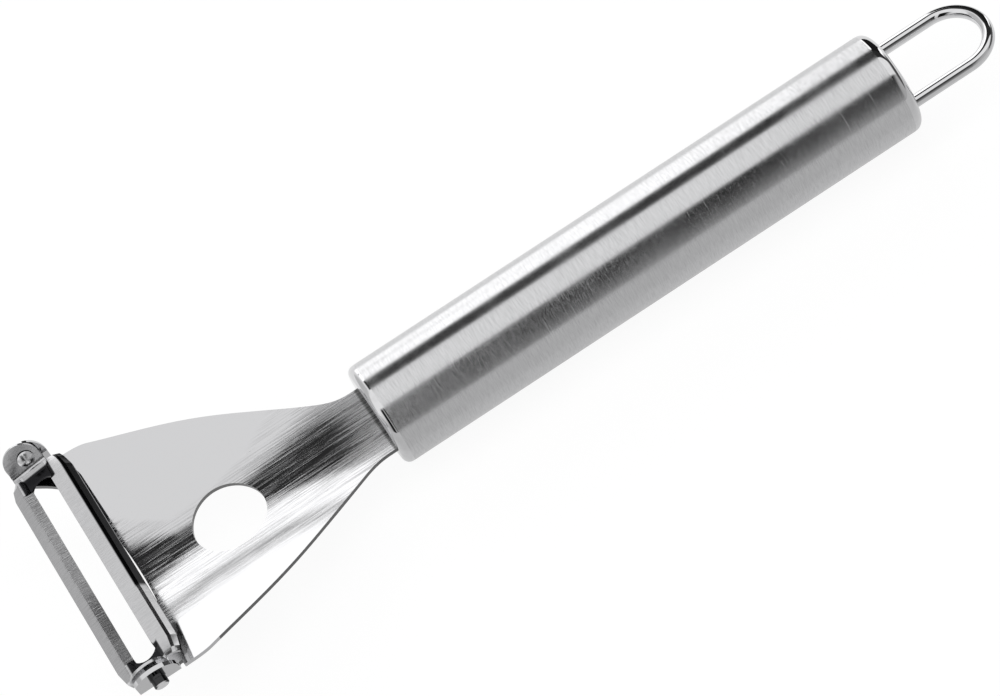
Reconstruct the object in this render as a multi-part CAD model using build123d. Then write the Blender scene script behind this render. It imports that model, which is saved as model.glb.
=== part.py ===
from build123d import *
from math import asin, cos, degrees, radians, sin, sqrt
import os

# Wide Y peeler of stainless steel, in millimetres.
# The model is made with the handle's axis along X, the front face of the handle at x = 0
# and the head toward +X. The blade's open side is up. It is set down on its handle at the end.

# Handle
handle_diameter = 20.0
handle_length = 110.5
tube_wall = 0.8
rim_length = 1.7
rim_round = 1.5
rear_rim_length = 2.1
rear_rim_round = 1.9
plug_length = 5.0
plug_fit = 0.02

# Hanging loop
loop_wire = 2.4
loop_inset = 2.98
loop_reach = 20.3
loop_fit = 0.03

# Head plate: one sheet, troughed along X
plate_thickness = 0.8
trough_floor = -1.12
trough_radius = 38.0
wing_angle = 19.4
head_length = 50.7
neck_half = 8.2
neck_straight = 1.5
side_reach = 1.12
tang_half = 6.0
tang_length = 14.0
tang_fit = 0.05
front_dip = 1.3
hole_radius = 7.08
hole_place = 31.2

# Places on the flare, as shares of the head's length and of the neck's widening
flare_shares = [(0.157, 0.098), (0.325, 0.337), (0.489, 0.563), (0.663, 0.755), (0.880, 0.956)]
# Places on the front edge, as shares of the arms' reach and of the half width
front_shares = [(0.113, 0.546), (0.407, 0.831), (0.738, 0.925)]
arm_inner_share = 0.955

# Swivel axis of the blade, across the head
pivot_place = 55.77
pivot_height = 10.7
pivot_half = 27.65
rest_tilt = 8.0

# Ears of the head plate
ear_slope = 70.0
ear_bend = 1.2
ear_radius = 4.2
ear_drop = 1.6
ear_offset = 0.24
ear_base_half = 4.1
ear_front_half = 4.2
relief_radius = 0.35

# Blade: one formed strip with a bent tab at each end
blade_sheet = 0.5
tab_gap = 0.6
tab_bend = 0.8
tab_radius = 3.45
tab_offset = 0.8
strip_drop = 1.85
cutting_out = 6.06
cutting_crease = 4.15
cutting_dip = 0.3
cutting_slot_edge = 2.39
guard_slot_edge = 1.78
end_web = 3.4
slot_bulge = 1.0
guard_flat = 4.71
guard_bend = 5.3
guard_bend_drop = 0.22
flange_out = 6.05
flange_drop = 1.3
recess_depth = 0.7
recess_ramp = 3.4
recess_front = 2.8
recess_back = 1.95
recess_step = 2.8
recess_run = 1.0
cutting_droop = 0.8
guard_droop = 0.4
edge_land = 0.06

# Shares of the corners' droop at three places toward the strip's end
corner_shares = [0.1, 0.55, 1.0]

# Rivets and their collars
shank_radius = 1.2
shank_play = 0.15
shank_fit = 0.02
inner_head_radius = 1.6
inner_head_height = 0.6
inner_head_gap = 0.3
collar_radius = 1.5
collar_height = 0.85
outer_head_radius = 1.4
outer_head_height = 1.35
outer_head_chamfer = 0.22

# One overrun serves all cuts
overrun = 3.0

# Worked out from the sizes above
handle_radius = handle_diameter / 2
bore_radius = handle_radius - tube_wall
leg_place = handle_radius - loop_inset
trough_center = trough_floor + trough_radius
arm_front = pivot_place + ear_front_half
ear_back = pivot_place - ear_base_half
strip_top = pivot_height - strip_drop

wing = radians(wing_angle)
ear = radians(ear_slope)
out_y = sin(ear)
out_z = -cos(ear)
up_y = cos(ear)
up_z = sin(ear)


def outward(y, z):
    return y * out_y + z * out_z


pivot_outward = outward(pivot_half, pivot_height)
ear_inner = pivot_outward + blade_sheet / 2 + tab_gap
tab_inner = pivot_outward - blade_sheet / 2

# The wing ends where the ear's bend starts, so that the ear's face lies at its gap from the tab
wing_start_y = trough_radius * sin(wing)
wing_start_z = trough_center - trough_radius * cos(wing)
wing_bend_reach = outward(wing_start_y - ear_bend * sin(wing), wing_start_z + ear_bend * cos(wing))
wing_length = (ear_inner - ear_bend - wing_bend_reach) / outward(cos(wing), sin(wing))
ear_fold_y = wing_start_y + wing_length * cos(wing)
ear_fold_z = wing_start_z + wing_length * sin(wing)
side_half = ear_fold_y + side_reach

# The flat strip ends where the tab's bend starts
tab_bend_z = strip_top + tab_bend
strip_half = (tab_inner - tab_bend - tab_bend_z * out_z) / out_y
slot_half = strip_half - end_web


def tab_plane(depth):
    # Lies across the left rivet, x toward the head, y up the ear, z toward the middle of the head
    origin = (pivot_place, pivot_half - depth * out_y, pivot_height - depth * out_z)
    return Plane(origin=origin, x_dir=(1, 0, 0), z_dir=(0, -out_y, -out_z))


def both_sides(left):
    return left, mirror(left, about=Plane.XZ)


# Handle tube
def make_handle_tube():
    length = handle_length - rim_length - rear_rim_length
    wall = Circle(handle_radius) - Circle(bore_radius)
    tube = extrude(Plane.YZ * wall, amount=length)
    return Pos(rear_rim_length - handle_length, 0, 0) * tube


# Caps: a rounded rim that is flush with the tube, and a plug in its bore
def make_cap_blank(rim, rounding):
    plug_radius = bore_radius - plug_fit
    plug_end = -rim - plug_length
    edges = [
        Line((0, 0), (0, handle_radius - rounding)),
        CenterArc((-rounding, handle_radius - rounding), rounding, 0, 90),
        Line((-rounding, handle_radius), (-rim, handle_radius)),
        Line((-rim, handle_radius), (-rim, plug_radius)),
        Line((-rim, plug_radius), (plug_end, plug_radius)),
        Line((plug_end, plug_radius), (plug_end, 0)),
        Line((plug_end, 0), (0, 0)),
    ]
    return revolve(make_face(edges), Axis.X)


def make_front_cap():
    slot_length = handle_diameter
    outer = Cylinder(trough_radius + plate_thickness + tang_fit, slot_length, rotation=(0, 90, 0))
    inner = Cylinder(trough_radius - tang_fit, slot_length, rotation=(0, 90, 0))
    slot_width = (tang_half + tang_fit) * 2
    below = Box(slot_length, slot_width, trough_center, align=(Align.CENTER, Align.CENTER, Align.MAX))
    curved_slot = Pos(0, 0, trough_center) * (outer - inner)
    lower = Pos(0, 0, handle_radius / 2) * below
    return make_cap_blank(rim_length, rim_round) - (curved_slot & lower)


def make_rear_cap():
    blank = mirror(make_cap_blank(rear_rim_length, rear_rim_round), about=Plane.YZ)
    leg_bore = Cylinder(loop_wire / 2 + loop_fit, handle_diameter, rotation=(0, 90, 0))
    legs = [Pos(0, side * leg_place, 0) * leg_bore for side in (-1, 1)]
    return Pos(-handle_length, 0, 0) * (blank - legs)


# Hanging loop: one wire, its legs run through the rear cap
def make_hanging_loop():
    bend_radius = leg_place
    tip = -handle_length - loop_reach
    bend_place = tip + loop_wire / 2 + bend_radius
    leg_end = -handle_length + rear_rim_length + plug_length
    path = Wire([
        Edge.make_line((leg_end, bend_radius, 0), (bend_place, bend_radius, 0)),
        Edge.make_three_point_arc(
            (bend_place, bend_radius, 0),
            (bend_place - bend_radius, 0, 0),
            (bend_place, -bend_radius, 0),
        ),
        Edge.make_line((bend_place, -bend_radius, 0), (leg_end, -bend_radius, 0)),
    ])
    section = Plane(origin=path @ 0, z_dir=path % 0) * Circle(loop_wire / 2)
    return sweep(section, path=path)


# Head plate: the left half of its section, walked along the top and under sides
def trough_side(depth):
    trough = trough_radius + depth
    middle = wing / 2
    reach = wing_length + overrun
    start = (0, trough_center - trough)
    middle_place = (trough * sin(middle), trough_center - trough * cos(middle))
    wing_start = (trough * sin(wing), trough_center - trough * cos(wing))
    wing_end = (wing_start[0] + reach * cos(wing), wing_start[1] + reach * sin(wing))
    edges = [ThreePointArc(start, middle_place, wing_start), Line(wing_start, wing_end)]
    return start, edges, wing_end


def ear_side(depth):
    bend = ear_bend + depth
    bend_y = ear_fold_y - ear_bend * sin(wing)
    bend_z = ear_fold_z + ear_bend * cos(wing)
    half_way = (wing + ear) / 2
    ear_length = ear_radius + ear_base_half
    fold = (bend_y + bend * sin(wing), bend_z - bend * cos(wing))
    start = (fold[0] - overrun * cos(wing), fold[1] - overrun * sin(wing))
    bend_middle = (bend_y + bend * sin(half_way), bend_z - bend * cos(half_way))
    ear_start = (bend_y + bend * sin(ear), bend_z - bend * cos(ear))
    ear_end = (ear_start[0] + ear_length * up_y, ear_start[1] + ear_length * up_z)
    edges = [Line(start, fold), ThreePointArc(fold, bend_middle, ear_start), Line(ear_start, ear_end)]
    return start, edges, ear_end


def make_sheet(side):
    top_start, top_edges, top_end = side(0)
    under_start, under_edges, under_end = side(plate_thickness)
    edges = top_edges + under_edges
    edges += [Line(top_start, under_start), Line(top_end, under_end)]
    length = arm_front + tang_length
    half = extrude(Plane.YZ * make_face(edges), amount=length)
    return Pos(-tang_length, 0, 0) * half


def plan_outline():
    front_mid = head_length - front_dip
    reach = arm_front - front_mid
    widening = side_half - neck_half
    flare = [(head_length * x, neck_half + widening * y) for x, y in flare_shares]
    front = [(front_mid + reach * x, side_half * y) for x, y in front_shares]
    arm_inner = side_half * arm_inner_share
    edges = [
        Line((-tang_length, 0), (-tang_length, tang_half)),
        Line((-tang_length, tang_half), (0, tang_half)),
        Line((0, tang_half), (0, neck_half)),
        Line((0, neck_half), (neck_straight, neck_half)),
        Spline((neck_straight, neck_half), *flare, (head_length, side_half), tangents=((1, 0), (1, 0))),
        Line((head_length, side_half), (ear_back, side_half)),
        Line((ear_back, side_half), (ear_back, ear_fold_y)),
        Line((ear_back, ear_fold_y), (arm_front, ear_fold_y)),
        Line((arm_front, ear_fold_y), (arm_front, arm_inner)),
        Spline((front_mid, 0), *front, (arm_front, arm_inner), tangents=((0, 1), (1, 0))),
        Line((front_mid, 0), (-tang_length, 0)),
    ]
    return make_face(edges)


def ear_outline():
    base = -ear_radius - ear_base_half
    front = ear_offset + ear_radius
    back = ear_offset - ear_radius
    edges = [
        CenterArc((ear_offset, -ear_drop), ear_radius, 0, 180),
        Line((front, -ear_drop), (ear_front_half, base)),
        Line((ear_front_half, base), (-ear_base_half, base)),
        Line((-ear_base_half, base), (back, -ear_drop)),
    ]
    return make_face(edges)


def make_head_plate():
    height = handle_diameter * 2
    plan = Pos(0, 0, -handle_radius) * extrude(plan_outline(), amount=height)
    fold_depth = pivot_outward - outward(ear_fold_y, ear_fold_z)
    ear_prism = extrude(tab_plane(fold_depth) * ear_outline(), amount=-fold_depth - overrun)
    rivet_hole = extrude(tab_plane(0) * Circle(shank_radius + shank_fit), amount=overrun, both=True)
    relief_end = Cylinder(relief_radius, height)
    relief_cut = Pos(0, overrun / 2, 0) * Box(relief_radius * 2, overrun, height)
    relief = Pos(ear_back - relief_radius, ear_fold_y, 0) * (relief_end + relief_cut)
    half = (make_sheet(trough_side) & plan) + (make_sheet(ear_side) & ear_prism) - rivet_hole - relief
    whole = half + mirror(half, about=Plane.XZ)
    finger_hole = Pos(hole_place, 0, 0) * Cylinder(hole_radius, handle_diameter)
    return whole - finger_hole


# Blade: places across the strip's top side, from the cutting edge back to the guard's flange
def strip_places(cutting_share, guard_share, recess, droop_share):
    guard = guard_droop * droop_share
    return [
        (cutting_out * cutting_share, -cutting_dip - cutting_droop * droop_share),
        (cutting_crease, 0),
        (recess_ramp, 0),
        (recess_front, -recess),
        (-recess_back, -recess),
        (-recess_step, 0),
        (-guard_flat * guard_share, -guard / 2),
        (-guard_bend * guard_share, -guard_bend_drop - guard * guard_share),
        (-flange_out * guard_share, -flange_drop * (1 - droop_share / 2) - guard),
    ]


def strip_section(y, *shares):
    top = strip_places(*shares)
    under = [(x, z - blade_sheet) for x, z in reversed(top)]
    corners = [(pivot_place + x, y, strip_top + z) for x, z in top + under]
    return make_face(Polyline(*corners, close=True))


def make_strip():
    half_sections = [(slot_half - recess_run, 1.0, 1.0, 0, 0)]
    half_sections.append((slot_half, 1.0, 1.0, recess_depth, corner_shares[0]))
    half_sections.append((strip_half - recess_run, 0.93, 0.92, recess_depth, corner_shares[1]))
    half_sections.append((strip_half, 0.84, 0.85, 0, corner_shares[2]))
    far = [strip_section(-y, *shares) for y, *shares in reversed(half_sections)]
    near = [strip_section(y, *shares) for y, *shares in half_sections]
    return loft(far + near, ruled=True)


def make_tab():
    top_z = strip_top
    bend_y = strip_half
    half_way = ear / 2
    reach = tab_radius * 2 + strip_drop

    def bend_place(radius, angle):
        return bend_y + radius * sin(angle), tab_bend_z - radius * cos(angle)

    inner = tab_bend
    outer = tab_bend + blade_sheet
    inner_end = bend_place(inner, ear)
    outer_end = bend_place(outer, ear)
    inner_top = (inner_end[0] + reach * up_y, inner_end[1] + reach * up_z)
    outer_top = (outer_end[0] + reach * up_y, outer_end[1] + reach * up_z)
    edges = [
        ThreePointArc((bend_y, top_z), bend_place(inner, half_way), inner_end),
        Line(inner_end, inner_top),
        Line(inner_top, outer_top),
        Line(outer_top, outer_end),
        ThreePointArc(outer_end, bend_place(outer, half_way), (bend_y, top_z - blade_sheet)),
        Line((bend_y, top_z - blade_sheet), (bend_y, top_z)),
    ]
    width = cutting_out * 2
    bent = extrude(Plane.YZ * make_face(edges), amount=width, both=True)
    bent = Pos(pivot_place, 0, 0) * bent
    low = -reach
    round_edges = [
        CenterArc((tab_offset, 0), tab_radius, 0, 180),
        Line((tab_offset + tab_radius, 0), (tab_offset + tab_radius, low)),
        Line((tab_offset + tab_radius, low), (tab_offset - tab_radius, low)),
        Line((tab_offset - tab_radius, low), (tab_offset - tab_radius, 0)),
    ]
    outline = extrude(tab_plane(0) * make_face(round_edges), amount=overrun, both=True)
    return bent & outline


def make_slot():
    tip = slot_half + slot_bulge
    edges = [
        Line((-guard_slot_edge, -slot_half), (-guard_slot_edge, slot_half)),
        ThreePointArc((-guard_slot_edge, slot_half), (0, tip), (cutting_slot_edge, slot_half)),
        Line((cutting_slot_edge, slot_half), (cutting_slot_edge, -slot_half)),
        ThreePointArc((cutting_slot_edge, -slot_half), (0, -tip), (-guard_slot_edge, -slot_half)),
    ]
    return Pos(pivot_place, 0, strip_top) * extrude(make_face(edges), amount=overrun, both=True)


def make_bevel():
    # Ground from the top side of the cutting rail, down to a thin land at the slot
    fall = blade_sheet - edge_land
    run = cutting_crease - cutting_slot_edge
    inner = cutting_slot_edge - run / 2
    bottom = -fall * (cutting_crease - inner) / run
    edges = [
        Line((cutting_crease, 0), (inner, bottom)),
        Line((inner, bottom), (inner, overrun)),
        Line((inner, overrun), (cutting_crease, overrun)),
        Line((cutting_crease, overrun), (cutting_crease, 0)),
    ]
    length = slot_half - recess_run / 2
    wedge = extrude(Plane.XZ * make_face(edges), amount=length, both=True)
    return Pos(pivot_place, 0, strip_top) * wedge


def make_peeling_blade():
    left_tab, right_tab = both_sides(make_tab())
    hole = extrude(tab_plane(0) * Circle(shank_radius + shank_play), amount=overrun / 2, both=True)
    left_hole, right_hole = both_sides(hole)
    blade = make_strip() + left_tab + right_tab
    blade = blade - make_slot() - make_bevel() - left_hole - right_hole
    swivel = Axis((pivot_place, 0, pivot_height), (0, 1, 0))
    return blade.rotate(swivel, rest_tilt)


# Rivet: turned about its own axis, z toward the middle of the head
def make_rivet():
    ear_outer = -blade_sheet / 2 - tab_gap - plate_thickness
    head_seat = ear_outer - collar_height
    head_end = head_seat - outer_head_height
    dome_seat = blade_sheet / 2 + inner_head_gap
    dome_top = dome_seat + inner_head_height
    dome_round = (inner_head_radius ** 2 + inner_head_height ** 2) / (inner_head_height * 2)
    half_angle = asin(inner_head_radius / dome_round) / 2
    dome_middle = (dome_round * sin(half_angle), dome_top - dome_round * (1 - cos(half_angle)))
    edges = [
        Line((0, head_end), (outer_head_radius - outer_head_chamfer, head_end)),
        Line(
            (outer_head_radius - outer_head_chamfer, head_end),
            (outer_head_radius, head_end + outer_head_chamfer),
        ),
        Line((outer_head_radius, head_end + outer_head_chamfer), (outer_head_radius, head_seat)),
        Line((outer_head_radius, head_seat), (shank_radius, head_seat)),
        Line((shank_radius, head_seat), (shank_radius, dome_seat)),
        Line((shank_radius, dome_seat), (inner_head_radius, dome_seat)),
        ThreePointArc((inner_head_radius, dome_seat), dome_middle, (0, dome_top)),
        Line((0, dome_top), (0, head_end)),
    ]
    turned = revolve(Plane.XZ * make_face(edges), Axis.Z)
    return tab_plane(0).location * turned


def make_collar():
    ring = Circle(collar_radius) - Circle(shank_radius + shank_fit)
    seat = blade_sheet / 2 + tab_gap + plate_thickness
    return extrude(tab_plane(-seat) * ring, amount=-collar_height)


left_rivet, right_rivet = both_sides(make_rivet())
left_collar, right_collar = both_sides(make_collar())

pieces = {
    "handle_tube": make_handle_tube(),
    "front_cap": make_front_cap(),
    "rear_cap": make_rear_cap(),
    "hanging_loop": make_hanging_loop(),
    "head_plate": make_head_plate(),
    "peeling_blade": make_peeling_blade(),
    "pivot_rivet_left": left_rivet,
    "pivot_rivet_right": right_rivet,
    "spacer_collar_left": left_collar,
    "spacer_collar_right": right_collar,
}

# The origin goes under the middle of the whole, on the surface that the handle lies on
size = Compound(children=[Part() + piece for piece in pieces.values()]).bounding_box()
home = Pos(-(size.min.X + size.max.X) / 2, 0, handle_radius)

os.makedirs("parts", exist_ok=True)
for name, piece in pieces.items():
    export_step(home * piece, "parts/" + name + ".step")
    print(name, round(piece.volume, 2))
print("origin in handle frame", round((size.min.X + size.max.X) / 2, 3), "strip half", round(strip_half, 3))
print("degrees", round(degrees(ear), 2), "wing length", round(wing_length, 3))
print("size", [round(v, 3) for v in (size.size.X, size.size.Y, size.size.Z)])
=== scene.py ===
import bpy
from math import radians, tan
from mathutils import Matrix, Vector

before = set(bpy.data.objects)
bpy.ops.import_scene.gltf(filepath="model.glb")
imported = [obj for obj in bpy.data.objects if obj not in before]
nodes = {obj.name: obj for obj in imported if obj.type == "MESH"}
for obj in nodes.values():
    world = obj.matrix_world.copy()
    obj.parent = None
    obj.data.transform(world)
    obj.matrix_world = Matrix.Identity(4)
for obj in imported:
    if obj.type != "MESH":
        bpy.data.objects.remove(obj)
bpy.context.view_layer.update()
print("frame loaded:", len(nodes), "nodes")


# Helpers for node trees. Those that work out a number or colour give back the socket that holds it
nodeGrid = dict(perRow=8, across=220, down=-320)


def newMaterial(name):
    mat = bpy.data.materials.new(name)
    mat.use_nodes = True
    mat.node_tree.nodes.clear()
    return mat


def addNode(tree, kind, **settings):
    row, column = divmod(len(tree.nodes), nodeGrid["perRow"])
    node = tree.nodes.new(kind)
    node.location = (column * nodeGrid["across"], row * nodeGrid["down"])
    for key, value in settings.items():
        setattr(node, key, value)
    return node


def feed(tree, socket, value):  # a number or colour is set, another node's output is linked
    if isinstance(value, bpy.types.NodeSocket):
        tree.links.new(value, socket)
    elif value is not None:
        socket.default_value = value


def feedAll(tree, node, values):
    for key, value in values.items():
        feed(tree, node.inputs[key], value)


def compute(tree, operation, *numbers):
    node = addNode(tree, "ShaderNodeMath", operation=operation)
    for socket, value in zip(node.inputs, numbers):
        feed(tree, socket, value)
    return node.outputs[0]


def split(tree, vector):  # gives back the three outputs X, Y and Z
    node = addNode(tree, "ShaderNodeSeparateXYZ")
    tree.links.new(vector, node.inputs[0])
    return node.outputs


def fade(tree, value, start, end, low=0.0, high=1.0):  # smooth step from low at start to high at end
    node = addNode(tree, "ShaderNodeMapRange", interpolation_type="SMOOTHSTEP")
    feedAll(tree, node, {"Value": value, "From Min": start, "From Max": end, "To Min": low, "To Max": high})
    return node.outputs["Result"]


def band(tree, value, edges):  # 1 between the two inner edges, 0 outside the outer ones
    rise = fade(tree, value, edges[0], edges[1])
    fall = fade(tree, value, edges[2], edges[3], 1.0, 0.0)
    return compute(tree, "MULTIPLY", rise, fall)


# A Mix node names its sockets alike for numbers and colours, so they are taken by their places
def mix(tree, share, first, second):
    node = addNode(tree, "ShaderNodeMix", data_type="FLOAT")
    feedAll(tree, node, {0: share, 2: first, 3: second})
    return node.outputs[0]


def mixColor(tree, share, first, second):
    node = addNode(tree, "ShaderNodeMix", data_type="RGBA")
    first, second = [(*value, 1) if isinstance(value, tuple) else value for value in (first, second)]
    feedAll(tree, node, {0: share, 6: first, 7: second})
    return node.outputs[2]


def curve(tree, value, stops):  # a number that follows the stops, straight between them
    first, last = stops[0][0], stops[-1][0]
    top = max(level for place, level in stops)
    share = addNode(tree, "ShaderNodeMapRange")
    feedAll(tree, share, {"Value": value, "From Min": first, "From Max": last})
    ramp = addNode(tree, "ShaderNodeValToRGB")
    elements = ramp.color_ramp.elements
    elements.remove(elements[-1])
    for i, (place, level) in enumerate(stops):
        position = (place - first) / (last - first)
        element = elements[0] if i == 0 else elements.new(position)
        element.position = position
        element.color = (*[level / top] * 3, 1)
    tree.links.new(share.outputs["Result"], ramp.inputs["Fac"])
    return compute(tree, "MULTIPLY", ramp.outputs["Color"], top)


def noise(tree, where, stretch, detail, roughness, distortion):
    grid = addNode(tree, "ShaderNodeMapping")
    grid.inputs["Scale"].default_value = stretch
    tree.links.new(where, grid.inputs["Vector"])
    node = addNode(tree, "ShaderNodeTexNoise")
    feedAll(tree, node, {"Scale": 1.0, "Detail": detail, "Roughness": roughness, "Distortion": distortion})
    tree.links.new(grid.outputs["Vector"], node.inputs["Vector"])
    return node.outputs["Fac"]


def paint(mat, *names):
    for name in names:
        mesh = nodes[name].data
        for i in range(len(mesh.materials)):
            mesh.materials[i] = mat
        if not mesh.materials:
            mesh.materials.append(mat)


# Camera: the photograph's view, from the left of the head and above
camera = dict(
    place=(0.059096, 0.443464, 0.548461),
    right=(-0.83443578, 0.46137452, -0.30141412),
    up=(-0.54652644, -0.62241429, 0.56027609),
    lens=142.237,
    sensor=36,
    nearest=0.01,
    farthest=20,
)


def makeCamera():
    data = bpy.data.cameras.new("photoCamera")
    data.type = "PERSP"
    data.sensor_fit = "HORIZONTAL"
    data.sensor_width = camera["sensor"]
    data.lens = camera["lens"]
    data.clip_start = camera["nearest"]
    data.clip_end = camera["farthest"]
    obj = bpy.data.objects.new("photoCamera", data)
    bpy.context.scene.collection.objects.link(obj)
    right = Vector(camera["right"]).normalized()
    up = Vector(camera["up"]).normalized()
    back = right.cross(up)
    turn = Matrix((right, up, back)).transposed().to_4x4()
    obj.matrix_world = Matrix.Translation(camera["place"]) @ turn
    bpy.context.scene.camera = obj


makeCamera()
print("camera placed")

# Studio: soft light in long bands beside the handle, with dark cards between them.
# An angle is in degrees round the handle's direction, 0 straight up and 90 to the left (+Y).
# Along is the share of a direction that points to the head (+X). Four edges are outer, inner, inner, outer.
studio = dict(
    light=[(-180, 0.9), (-100, 1.2), (-90, 1.75), (-60, 1.9), (-45, 1.9), (-38, 1.15), (33, 1.15), (80, 0.6),
           (180, 0.6)],
    greyCard=dict(angle=(-72.5, -71.0, -64.5, -62.5), along=(-0.034, -0.022, 0.1, 0.15), level=0.72),
    ridgeCard=dict(angle=(-44.5, -40.5, -18.0, -15.0), along=(-1.2, -1.1, 0.10, 0.19), level=0.035),
    loopCard=dict(angle=(-140, -120, -40, -36), along=(-0.785, -0.77, -0.245, -0.205), level=0.015),
    # the left card is in two parts, and its grey runs on a slant
    leftCard=dict(
        angle=(28.0, 34.5), parts=[(-1.2, -1.1, -0.012, 0.004), (0.14, 0.18, 0.45, 0.7)], slant=-120.0,
        level=[(45, 0.012), (54, 0.02), (63, 0.04), (72, 0.07), (81, 0.12), (90, 0.2), (100, 0.33),
               (110, 0.45), (130, 0.55), (200, 0.6)],
    ),
    # light beyond the head on the right, and dark beyond the loop
    headSide=dict(
        angle=(-10, -26), along=(0.12, 0.2), level=[(0.0, 1.08), (0.32, 1.05), (0.42, 0.7), (1.0, 0.7)],
    ),
    loopSide=dict(along=(-0.82, -0.93), level=0.1),
    background=1.0,
)


def makeWorld():
    world = bpy.data.worlds.new("studioLight")
    bpy.context.scene.world = world
    world.use_nodes = True
    tree = world.node_tree
    tree.nodes.clear()
    along, left, up = split(tree, addNode(tree, "ShaderNodeTexCoord").outputs["Generated"])
    angle = compute(tree, "DEGREES", compute(tree, "ARCTAN2", left, up))

    def hang(level, angleShare, alongEdges, cardLevel):  # a card in front of the light so far
        share = compute(tree, "MULTIPLY", angleShare, band(tree, along, alongEdges))
        return mix(tree, share, level, cardLevel)

    level = curve(tree, angle, studio["light"])
    for card in (studio["greyCard"], studio["ridgeCard"]):
        level = hang(level, band(tree, angle, card["angle"]), card["along"], card["level"])

    card = studio["leftCard"]
    angleShare = fade(tree, angle, *card["angle"])
    slanted = compute(tree, "MULTIPLY_ADD", along, card["slant"], angle)
    cardLevel = curve(tree, slanted, card["level"])
    for alongEdges in card["parts"]:
        level = hang(level, angleShare, alongEdges, cardLevel)

    side = studio["headSide"]
    share = compute(tree, "MULTIPLY", fade(tree, along, *side["along"]), fade(tree, angle, *side["angle"]))
    level = mix(tree, share, level, curve(tree, along, side["level"]))
    side = studio["loopSide"]
    level = mix(tree, fade(tree, along, *side["along"]), level, side["level"])
    card = studio["loopCard"]
    level = hang(level, band(tree, angle, card["angle"]), card["along"], card["level"])

    path = addNode(tree, "ShaderNodeLightPath")
    level = mix(tree, path.outputs["Is Camera Ray"], level, studio["background"])
    glow = addNode(tree, "ShaderNodeBackground")
    tree.links.new(level, glow.inputs["Strength"])
    out = addNode(tree, "ShaderNodeOutputWorld")
    tree.links.new(glow.outputs[0], out.inputs["Surface"])


# Floor: white paper. The camera sees it at a level of its own, and so does the metal, which also sees
# it greyer on the left, and a black card on it far behind the loop, to the right of a slanted line
floor = dict(
    size=3.0, under=0.0002, tone=0.86,
    seen=0.9, seenTone=0.18,
    mirrored=(0.92, 0.55), mirroredFrom=-0.02, mirroredTo=0.03, mirroredTone=0.2,
    cardAlong=(-0.2, -0.28), cardSlope=0.815, cardStart=0.085, cardEdge=0.012, cardTone=0.03,
)


def floorMaterial():
    mat = newMaterial("whitePaper")
    tree = mat.node_tree
    path = addNode(tree, "ShaderNodeLightPath")
    seen, mirrored = path.outputs["Is Camera Ray"], path.outputs["Is Glossy Ray"]
    where = split(tree, addNode(tree, "ShaderNodeTexCoord").outputs["Object"])
    x, y = where["X"], where["Y"]
    shine = fade(tree, y, floor["mirroredFrom"], floor["mirroredTo"], *floor["mirrored"])

    line = compute(tree, "MULTIPLY_ADD", x, -floor["cardSlope"], y)
    lineStart = -floor["cardSlope"] * floor["cardStart"]
    beyond = fade(tree, line, lineStart, lineStart - floor["cardEdge"])
    card = compute(tree, "MULTIPLY", fade(tree, x, *floor["cardAlong"]), beyond)
    shine = mix(tree, card, shine, floor["cardTone"])
    mirroredTone = mix(tree, card, floor["mirroredTone"], floor["cardTone"])

    tone = mix(tree, mirrored, floor["tone"], mirroredTone)
    tone = mix(tree, seen, tone, floor["seenTone"])
    paper = addNode(tree, "ShaderNodeBsdfDiffuse")
    tree.links.new(tone, paper.inputs["Color"])
    shine = compute(tree, "MULTIPLY", shine, 1 - floor["mirroredTone"])
    strength = compute(tree, "MULTIPLY", mirrored, shine)
    strength = compute(tree, "MULTIPLY_ADD", seen, floor["seen"], strength)
    glow = addNode(tree, "ShaderNodeEmission")
    tree.links.new(strength, glow.inputs["Strength"])
    both = addNode(tree, "ShaderNodeAddShader")
    tree.links.new(paper.outputs[0], both.inputs[0])
    tree.links.new(glow.outputs[0], both.inputs[1])
    out = addNode(tree, "ShaderNodeOutputMaterial")
    tree.links.new(both.outputs[0], out.inputs["Surface"])
    return mat


def makeFloor():
    half, under = floor["size"] / 2, -floor["under"]
    mesh = bpy.data.meshes.new("paleFloor")
    corners = [(-half, -half, under), (half, -half, under), (half, half, under), (-half, half, under)]
    mesh.from_pydata(corners, [], [(0, 1, 2, 3)])
    mesh.materials.append(floorMaterial())
    obj = bpy.data.objects.new("paleFloor", mesh)
    bpy.context.scene.collection.objects.link(obj)


makeWorld()
makeFloor()
bpy.context.scene.view_settings.view_transform = "Standard"
print("studio ready")

# Steel: what every piece's finish shares. Each noise has its detail, roughness and distortion
finish = dict(
    grainNoise=(3.0, 0.62, 0.0), grainFrom=0.62, grainTo=0.3,
    cloudNoise=(4.0, 0.55, 0.0), cloudScale=90.0, cloudFrom=0.25, cloudTo=0.75,
    smoothest=0.75, roughest=1.3,
    scratchNoise=(2.0, 0.5, 0.2), scratchEdge=0.06, scratchTone=1.12, scratchHeight=-0.4,
    bumpDistance=0.00002,
)


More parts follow.
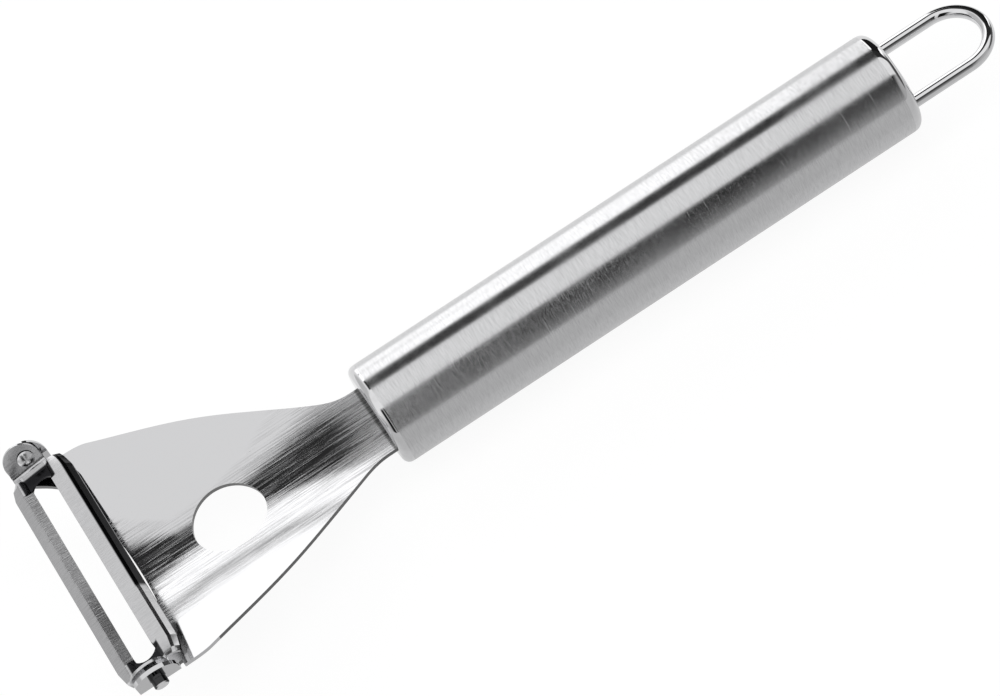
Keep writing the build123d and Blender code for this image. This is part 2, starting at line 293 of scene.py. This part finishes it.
# A look's scales stretch its grain and scratches, in waves per metre along the object's axes.
# zones(tree, where) may add: shown (where grain and scratches show), dark (share of darkTone, where shade is
# painted in), satin (added roughness) and normal (the surface's direction, where it differs a little from
# the mesh)
def steel(name, look, zones=None):
    mat = newMaterial(name)
    tree = mat.node_tree
    where = addNode(tree, "ShaderNodeTexCoord").outputs["Object"]
    extra = zones(tree, where) if zones else {}
    grain = noise(tree, where, look["grainScale"], *finish["grainNoise"])
    cloud = noise(tree, where, [finish["cloudScale"]] * 3, *finish["cloudNoise"])
    scratch = noise(tree, where, look["scratchScale"], *finish["scratchNoise"])
    shown = extra.get("shown", 1.0)
    depth = compute(tree, "MULTIPLY", fade(tree, grain, finish["grainFrom"], finish["grainTo"]), shown)
    marks = fade(tree, scratch, look["scratchFrom"], look["scratchFrom"] + finish["scratchEdge"])
    marks = compute(tree, "MULTIPLY", marks, shown)

    # colour: the steel's tone, darker in the grain, lighter in the scratches
    deep = tuple(v * (1 - look["grainDepth"]) for v in look["color"])
    worn = tuple(min(1.0, v * finish["scratchTone"]) for v in look["color"])
    color = mixColor(tree, depth, look["color"], deep)
    color = mixColor(tree, compute(tree, "MULTIPLY", marks, look["scratchShare"]), color, worn)
    # painted shade: where a zone asks for it, the colour is mixed towards the look's dark tone
    if "dark" in extra:
        color = mixColor(tree, extra["dark"], color, look["darkTone"])

    # roughness: cloudy, more in the grain
    low, high = look["roughness"] * finish["smoothest"], look["roughness"] * finish["roughest"]
    rough = fade(tree, cloud, finish["cloudFrom"], finish["cloudTo"], low, high)
    rough = compute(tree, "MULTIPLY_ADD", depth, look.get("grainSatin", 0.0), rough)
    if "satin" in extra:
        rough = compute(tree, "ADD", rough, extra["satin"])

    # bump: grain and scratches
    height = compute(tree, "MULTIPLY", grain, shown)
    height = compute(tree, "MULTIPLY_ADD", marks, finish["scratchHeight"], height)
    bump = addNode(tree, "ShaderNodeBump")
    feedAll(tree, bump, {"Strength": look["bump"], "Distance": finish["bumpDistance"], "Height": height,
                         "Normal": extra.get("normal")})

    shader = addNode(tree, "ShaderNodeBsdfPrincipled")
    shader.inputs["Metallic"].default_value = 1.0
    feedAll(tree, shader, {"Base Color": color, "Roughness": rough, "Normal": bump.outputs["Normal"]})
    if "anisotropic" in look:
        shader.inputs["Anisotropic"].default_value = look["anisotropic"]
        tangent = addNode(tree, "ShaderNodeTangent", direction_type="RADIAL", axis=look["tangentAxis"])
        tree.links.new(tangent.outputs["Tangent"], shader.inputs["Tangent"])
    out = addNode(tree, "ShaderNodeOutputMaterial")
    tree.links.new(shader.outputs["BSDF"], out.inputs["Surface"])
    return mat


# Handle tube: brushed round its girth
handleTube = dict(
    color=(0.72, 0.72, 0.73), grainDepth=0.14, grainScale=(9000, 420, 420), scratchScale=(2600, 60, 60),
    scratchFrom=0.68, scratchShare=0.3, roughness=0.17, bump=0.55, anisotropic=0.5, tangentAxis="X",
)
paint(steel("brushedHandle", handleTube), "handle_tube")

# Caps and loop: polished
caps = dict(
    color=(0.78, 0.78, 0.79), grainDepth=0.05, grainScale=(500, 500, 500), scratchScale=(300, 2400, 300),
    scratchFrom=0.7, scratchShare=0.15, roughness=0.05, bump=0.06,
)
paint(steel("polishedCaps", caps), "front_cap", "rear_cap")
loopWire = dict(
    color=(0.8, 0.8, 0.81), grainDepth=0.05, grainScale=(400, 900, 900), scratchScale=(200, 1500, 1500),
    scratchFrom=0.7, scratchShare=0.12, roughness=0.035, bump=0.05,
)
paint(steel("polishedWire", loopWire), "hanging_loop")

# Head plate: smooth wings, brushed lines in the trough and on the neck, painted shade on the cut edges and a
# painted shadow line where the neck enters the cap.
# The real trough is tighter beside the hole and flatter on the neck than the solid's, which has one radius.
# The stops bend the solid's reflections so: a place along the object, then the trough's radius on the right
# side or the middle's shift to the left
headPlate = dict(
    color=(0.69, 0.69, 0.70), darkTone=(0.2, 0.2, 0.2), grainDepth=0.12, grainSatin=0.24,
    grainScale=(80, 3300, 1200), scratchScale=(45, 3000, 1100), scratchFrom=0.62, scratchShare=0.5,
    roughness=0.055, bump=0.6,
    troughRadius=0.038, wingAngle=19.4, brushedFrom=1.04, brushedTo=0.9,
    rightRadius=[(0.035, 0.064), (0.043, 0.062), (0.050, 0.0465), (0.058, 0.0306), (0.066, 0.023),
                 (0.075, 0.0214), (0.083, 0.0423), (0.087, 0.046)],
    middleShift=[(0.035, 0.0052), (0.043, 0.0046), (0.050, 0.0026), (0.058, 0.0011), (0.066, 0.0006),
                 (0.075, 0.0006), (0.083, 0.0021), (0.087, 0.0022)],
    neckFrom=0.046, neckTo=0.036, neckSatin=0.16, neckRootShadow=(0.0354, 0.0349),
    edgeShadeFrom=0.35, edgeShadeTo=0.15, edgeInner=0.0262,
)


def plateZones(tree, where):
    place = split(tree, where)
    x, y = place["X"], place["Y"]
    wingSlope = tan(radians(headPlate["wingAngle"]))

    def limited(slope):  # beside the round trough the wings are straight
        return compute(tree, "MAXIMUM", compute(tree, "MINIMUM", slope, wingSlope), -wingSlope)

    # the slope across the plate, as the solid has it and as the real one has it
    solidSlope = limited(compute(tree, "DIVIDE", y, headPlate["troughRadius"]))
    shifted = compute(tree, "SUBTRACT", y, curve(tree, x, headPlate["middleShift"]))
    isRight = compute(tree, "LESS_THAN", shifted, 0.0)
    radius = mix(tree, isRight, headPlate["troughRadius"], curve(tree, x, headPlate["rightRadius"]))
    roundSlope = compute(tree, "DIVIDE", shifted, radius)
    realSlope = limited(roundSlope)

    # the surface's direction, leaned across by the difference
    normal = addNode(tree, "ShaderNodeNewGeometry").outputs["Normal"]
    normalX, normalY, normalZ = split(tree, normal)
    lean = compute(tree, "MULTIPLY", compute(tree, "SUBTRACT", solidSlope, realSlope), normalZ)
    turned = addNode(tree, "ShaderNodeCombineXYZ")
    feedAll(tree, turned, {"X": normalX, "Y": compute(tree, "ADD", normalY, lean), "Z": normalZ})
    leaned = addNode(tree, "ShaderNodeVectorMath", operation="NORMALIZE")
    tree.links.new(turned.outputs[0], leaned.inputs[0])

    # brushed in the trough, satin on the neck; painted shade on the cut edges, and a painted shadow line
    # where the neck enters the cap
    bendShare = compute(tree, "DIVIDE", compute(tree, "ABSOLUTE", roundSlope), wingSlope)
    brushed = fade(tree, bendShare, headPlate["brushedFrom"], headPlate["brushedTo"])
    neck = fade(tree, x, headPlate["neckFrom"], headPlate["neckTo"], 0.0, headPlate["neckSatin"])
    inside = compute(tree, "LESS_THAN", compute(tree, "ABSOLUTE", y), headPlate["edgeInner"])
    # painted shade: the steep cut-edge walls beside the trough are painted dark
    upright = compute(tree, "ABSOLUTE", normalZ)
    edgeShade = fade(tree, upright, headPlate["edgeShadeFrom"], headPlate["edgeShadeTo"])
    edgeShade = compute(tree, "MULTIPLY", edgeShade, inside)
    # painted shadow: a dark line across the neck where it enters the cap
    rootShadow = fade(tree, x, *headPlate["neckRootShadow"])
    dark = compute(tree, "MAXIMUM", edgeShade, rootShadow)
    return dict(shown=brushed, dark=dark, normal=leaned.outputs[0], satin=neck)


paint(steel("brushedPlate", headPlate, plateZones), "head_plate")

# Blade: pressed strip, ground across on its bevel. Its pressed ends and its flange are painted near black as
# shade, standing for the dark reflections there; the flange's left end stays bright
blade = dict(
    color=(0.66, 0.66, 0.67), darkTone=(0.025, 0.025, 0.027), grainDepth=0.3, grainScale=(500, 4200, 500),
    scratchScale=(300, 3000, 300), scratchFrom=0.64, scratchShare=0.3, roughness=0.17, bump=0.3,
    webShadeAcross=(0.0219, 0.0222, 0.0254, 0.0257), webShadeAlong=(0.0873, 0.0876, 0.0938, 0.0941),
    bevelAlong=(0.0925, 0.0928, 0.0944, 0.0947), railShown=0.35,
    flangeShadeAlong=(0.0858, 0.0855), flangeShadeTo=(0.0106, 0.0094),
)


def bladeZones(tree, where):
    place = split(tree, where)
    x, y = place["X"], place["Y"]
    away = compute(tree, "ABSOLUTE", y)
    # painted shade: the pressed ends and the flange are painted near black, standing for dark reflections
    webShade = compute(tree, "MULTIPLY", band(tree, away, blade["webShadeAcross"]), band(tree, x, blade["webShadeAlong"]))
    flangeShade = fade(tree, x, *blade["flangeShadeAlong"])
    flangeShade = compute(tree, "MULTIPLY", flangeShade, fade(tree, y, *blade["flangeShadeTo"]))
    ground = band(tree, x, blade["bevelAlong"])
    return dict(dark=compute(tree, "MAXIMUM", webShade, flangeShade), shown=mix(tree, ground, blade["railShown"], 1.0))


paint(steel("bladeSteel", blade, bladeZones), "peeling_blade")

# Rivets and collars: polished outside the ears, pressed and dull inside them.
# They lean 20 degrees with the ears: their ends still face mostly along Y, and their round sides don't
rivets = dict(
    color=(0.9, 0.9, 0.91), darkTone=(0.05, 0.05, 0.052), grainDepth=0.2, grainScale=(3000, 3000, 3000),
    scratchScale=(900, 900, 900), scratchFrom=0.66, scratchShare=0.2, roughness=0.05, bump=0.35,
    insideFrom=0.0285, insideTo=0.0278, insideSatin=0.17,
    sideShadeFrom=0.9, sideShadeTo=0.8,
)


def rivetZones(tree, where):
    away = compute(tree, "ABSOLUTE", split(tree, where)["Y"])
    inside = fade(tree, away, rivets["insideFrom"], rivets["insideTo"])
    # painted shade: outside the ears the round sides are painted near black, standing for the dark
    # reflections on them, and the ends stay bright
    normal = split(tree, addNode(tree, "ShaderNodeNewGeometry").outputs["True Normal"])
    side = fade(tree, compute(tree, "ABSOLUTE", normal["Y"]), rivets["sideShadeFrom"], rivets["sideShadeTo"])
    dark = compute(tree, "MULTIPLY", side, compute(tree, "SUBTRACT", 1.0, inside))
    return dict(shown=inside, dark=dark, satin=compute(tree, "MULTIPLY", inside, rivets["insideSatin"]))


paint(steel("turnedRivets", rivets, rivetZones), "pivot_rivet_left", "pivot_rivet_right",
      "spacer_collar_left", "spacer_collar_right")
print("materials done")
